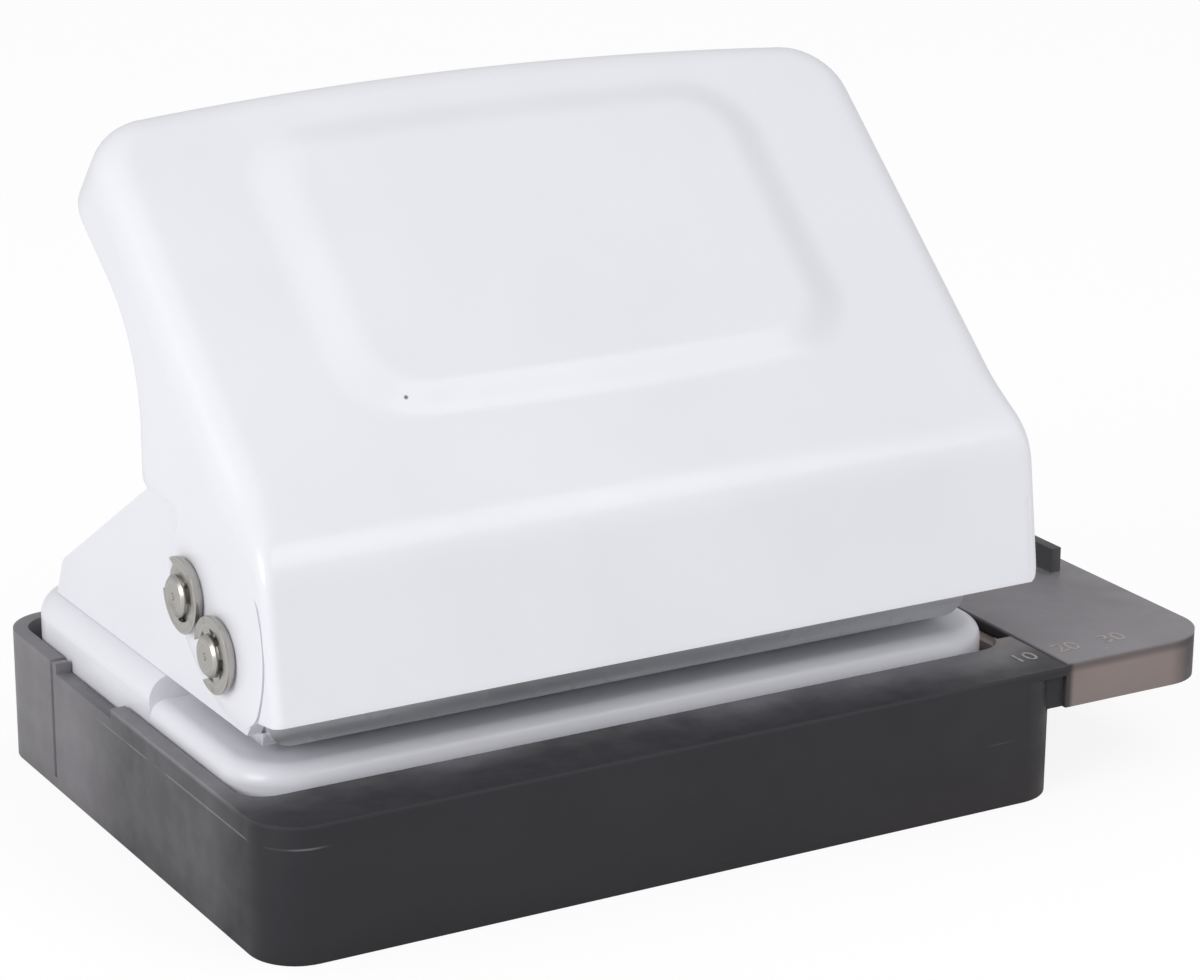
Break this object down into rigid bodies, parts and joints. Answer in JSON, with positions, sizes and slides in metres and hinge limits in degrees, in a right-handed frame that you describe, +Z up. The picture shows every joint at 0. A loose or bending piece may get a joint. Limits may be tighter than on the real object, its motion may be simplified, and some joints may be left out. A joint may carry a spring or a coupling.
{
  "type": "two-hole desk punch",
  "caption": "Hand-pressed two-hole desk punch: sheet-steel lever on a steel base, spring-returned cutters, clip-off chip tray and slide-out paper guide.",
  "frame": {"origin": "middle of the chip tray's flat underside, on the desk, midway between the two holes", "axes": "+X to the right along the line of the holes, +Y to the rear, +Z up; paper goes in from -Y"},
  "size_m": [0.131, 0.0794, 0.0863],
  "materials": {
    "white_paint": "smooth semi-gloss paint",
    "smoky_plastic": "smoky translucent, fine satin",
    "grey_steel": "zinc plated, satin",
    "bright_steel": "nickel plated, turned",
    "spring_steel": "spring steel, oiled",
    "tool_steel": "hardened and ground"
  },
  "bodies": {
    "frame": {"base_plate": "white_paint", "left_side_plate": "white_paint", "right_side_plate": "white_paint", "frame_rivets": "bright_steel", "lower_guide": "grey_steel", "upper_guide": "grey_steel", "left_return_spring": "spring_steel", "right_return_spring": "spring_steel"},
    "lever": {"handle": "white_paint", "pivot_pin": "bright_steel", "actuating_rod": "bright_steel", "pivot_washer_left": "bright_steel", "pivot_washer_right": "bright_steel", "rod_washer_left": "bright_steel", "rod_washer_right": "bright_steel", "pivot_clip_left": "spring_steel", "pivot_clip_right": "spring_steel", "rod_clip_left": "spring_steel", "rod_clip_right": "spring_steel"},
    "left_cutter": {"left_cutter": "tool_steel"},
    "right_cutter": {"right_cutter": "tool_steel"},
    "chip_tray": {"chip_tray": "smoky_plastic"},
    "paper_guide": {"paper_guide": "smoky_plastic"}
  },
  "joints": [
    {"name": "lever_press", "type": "hinge", "parent": "frame", "child": "lever", "pos_m": [0, -0.02263, 0.0319], "axis": [-1, 0, 0], "range_deg": [0, 38], "stiffness_Nm_per_rad": 0.12, "springref_deg": -34.38},
    {"name": "left_cutter_slide", "type": "slide", "parent": "frame", "child": "left_cutter", "axis": [0, 0, -1], "range_m": [0, 0.00615], "deforming": ["left_return_spring"]},
    {"name": "right_cutter_slide", "type": "slide", "parent": "frame", "child": "right_cutter", "axis": [0, 0, -1], "range_m": [0, 0.00615], "deforming": ["right_return_spring"]},
    {"name": "tray_pull", "type": "slide", "parent": "frame", "child": "chip_tray", "axis": [0, 0, -1], "range_m": [0, 0.03]},
    {"name": "guide_slide", "type": "slide", "parent": "chip_tray", "child": "paper_guide", "axis": [1, 0, 0], "range_m": [0, 0.055]}
  ],
  "couplings": [
    {"joint": "left_cutter_slide", "follows": "lever_press", "m_per_rad": 0.0092055},
    {"joint": "right_cutter_slide", "follows": "lever_press", "m_per_rad": 0.0092055}
  ]
}
